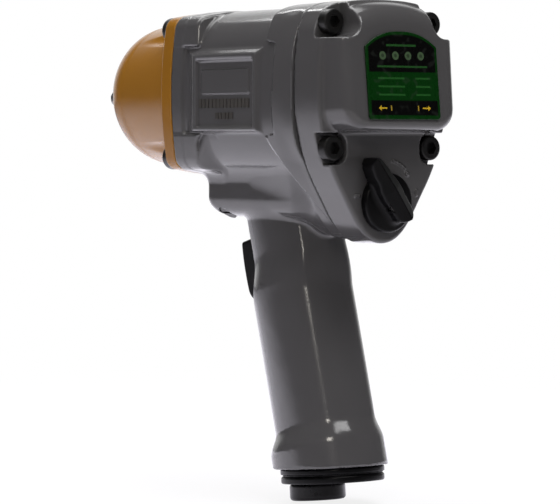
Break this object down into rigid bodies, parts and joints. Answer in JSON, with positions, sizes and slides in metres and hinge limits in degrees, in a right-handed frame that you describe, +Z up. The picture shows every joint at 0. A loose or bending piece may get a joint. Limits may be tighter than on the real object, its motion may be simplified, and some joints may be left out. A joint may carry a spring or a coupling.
{
  "type": "air impact wrench",
  "caption": "Pistol-grip air impact wrench with a square drive, twin-hammer clutch, vane motor, trigger throttle and a turning knob for forward and reverse.",
  "frame": {"origin": "centre of the square drive's end face", "axes": "+X along the drive axis out of the nose, +Y to the tool's left side, +Z up with the handle hanging down"},
  "size_m": [0.1805, 0.0652, 0.1887],
  "materials": {
    "grey_paint": "glossy dark grey enamel over cast aluminium",
    "orange_paint": "glossy orange-gold enamel over a cast nose",
    "black_steel": "black oxide steel",
    "bright_steel": "ground steel",
    "dark_steel": "phosphated steel",
    "bronze": "oiled sintered bronze",
    "brass": "turned brass",
    "black_plastic": "black moulded plastic with a soft sheen",
    "gasket": "black gasket sheet",
    "felt": "grey felt",
    "phenolic": "brown laminated vane stock",
    "label": "printed green and black label plate"
  },
  "bodies": {
    "housing": {"motor_housing": "grey_paint", "rear_cover": "grey_paint", "nose_case": "orange_paint", "nose_screw_1": "black_steel", "nose_screw_2": "black_steel", "nose_screw_3": "black_steel", "nose_screw_4": "black_steel", "rear_screw_1": "black_steel", "rear_screw_2": "black_steel", "rear_screw_3": "black_steel", "rear_screw_4": "black_steel", "inlet_bushing": "black_steel", "oil_plug": "black_steel", "motor_cylinder": "bright_steel", "cylinder_dowel": "bright_steel", "front_bearing_outer_ring": "bright_steel", "rear_bearing_outer_ring": "bright_steel", "detent_ball": "bright_steel", "detent_spring": "bright_steel", "throttle_spring": "bright_steel", "front_end_plate": "dark_steel", "rear_end_plate": "dark_steel", "anvil_bushing": "bronze", "reverse_valve_sleeve": "brass", "inlet_screen": "brass", "throttle_seat": "brass", "trigger_bushing": "brass", "exhaust_deflector": "black_plastic", "nose_gasket": "gasket", "rear_gasket": "gasket", "exhaust_muffler": "felt", "rear_label": "label"},
    "rotor": {"rotor": "bright_steel", "front_bearing_inner_ring": "bright_steel", "rear_bearing_inner_ring": "bright_steel", "hammer_cage": "dark_steel", "hammer_pin_1": "bright_steel", "hammer_pin_2": "bright_steel"},
    "anvil": {"anvil": "dark_steel", "socket_retaining_ring": "bright_steel"},
    "front_bearing_balls": {"front_bearing_balls": "bright_steel"},
    "rear_bearing_balls": {"rear_bearing_balls": "bright_steel"},
    "hammer_1": {"hammer_1": "bright_steel"},
    "hammer_2": {"hammer_2": "bright_steel"},
    "vane_1": {"vane_1": "phenolic"},
    "vane_2": {"vane_2": "phenolic"},
    "vane_3": {"vane_3": "phenolic"},
    "vane_4": {"vane_4": "phenolic"},
    "vane_5": {"vane_5": "phenolic"},
    "vane_6": {"vane_6": "phenolic"},
    "trigger": {"trigger": "black_plastic", "trigger_stem": "bright_steel"},
    "throttle_valve": {"throttle_valve": "brass"},
    "knob": {"reverse_knob": "black_plastic", "knob_pin": "bright_steel", "reverse_valve": "dark_steel"}
  },
  "joints": [
    {"name": "rotor_spin", "type": "hinge", "parent": "housing", "child": "rotor", "pos_m": [-0.1157, 0, 0], "axis": [1, 0, 0], "continuous": true},
    {"name": "anvil_spin", "type": "hinge", "parent": "housing", "child": "anvil", "pos_m": [-0.022, 0, 0], "axis": [1, 0, 0], "continuous": true},
    {"name": "front_bearing_spin", "type": "hinge", "parent": "housing", "child": "front_bearing_balls", "pos_m": [-0.0833, 0, 0], "axis": [1, 0, 0], "continuous": true},
    {"name": "rear_bearing_spin", "type": "hinge", "parent": "housing", "child": "rear_bearing_balls", "pos_m": [-0.1472, 0, 0], "axis": [1, 0, 0], "continuous": true},
    {"name": "hammer_1_swing", "type": "hinge", "parent": "rotor", "child": "hammer_1", "pos_m": [-0.0428, 0.02, 0], "axis": [1, 0, 0], "range_deg": [-3.5, 3.5]},
    {"name": "hammer_2_swing", "type": "hinge", "parent": "rotor", "child": "hammer_2", "pos_m": [-0.0563, -0.02, 0], "axis": [1, 0, 0], "range_deg": [-3.5, 3.5]},
    {"name": "vane_1_slide", "type": "slide", "parent": "rotor", "child": "vane_1", "axis": [0, 1, 0], "range_m": [0, 0.0022]},
    {"name": "vane_2_slide", "type": "slide", "parent": "rotor", "child": "vane_2", "axis": [0, 0.5, 0.866], "range_m": [0, 0.0007]},
    {"name": "vane_3_slide", "type": "slide", "parent": "rotor", "child": "vane_3", "axis": [0, -0.5, 0.866], "range_m": [0, 0.0007]},
    {"name": "vane_4_slide", "type": "slide", "parent": "rotor", "child": "vane_4", "axis": [0, -1, 0], "range_m": [0, 0.0022]},
    {"name": "vane_5_slide", "type": "slide", "parent": "rotor", "child": "vane_5", "axis": [0, -0.5, -0.866], "range_m": [0, 0.0007]},
    {"name": "vane_6_slide", "type": "slide", "parent": "rotor", "child": "vane_6", "axis": [0, 0.5, -0.866], "range_m": [0, 0.0007]},
    {"name": "trigger_slide", "type": "slide", "parent": "housing", "child": "trigger", "axis": [-0.9636, 0, 0.2672], "range_m": [0, 0.004], "stiffness_N_per_m": 600, "springref_m": -0.004},
    {"name": "throttle_tilt", "type": "hinge", "parent": "housing", "child": "throttle_valve", "pos_m": [-0.11244, 0, -0.09131], "axis": [0, -1, 0], "range_deg": [0, 11.1], "deforming": ["throttle_spring"]},
    {"name": "knob_turn", "type": "hinge", "parent": "housing", "child": "knob", "pos_m": [-0.1667, 0, -0.041], "axis": [-1, 0, 0], "range_deg": [-125, 55]}
  ],
  "couplings": [
    {"joint": "anvil_spin", "follows": "rotor_spin", "ratio": 1},
    {"joint": "front_bearing_spin", "follows": "rotor_spin", "ratio": 0.44},
    {"joint": "rear_bearing_spin", "follows": "rotor_spin", "ratio": 0.44},
    {"joint": "throttle_tilt", "follows": "trigger_slide", "rad_per_m": 48}
  ]
}
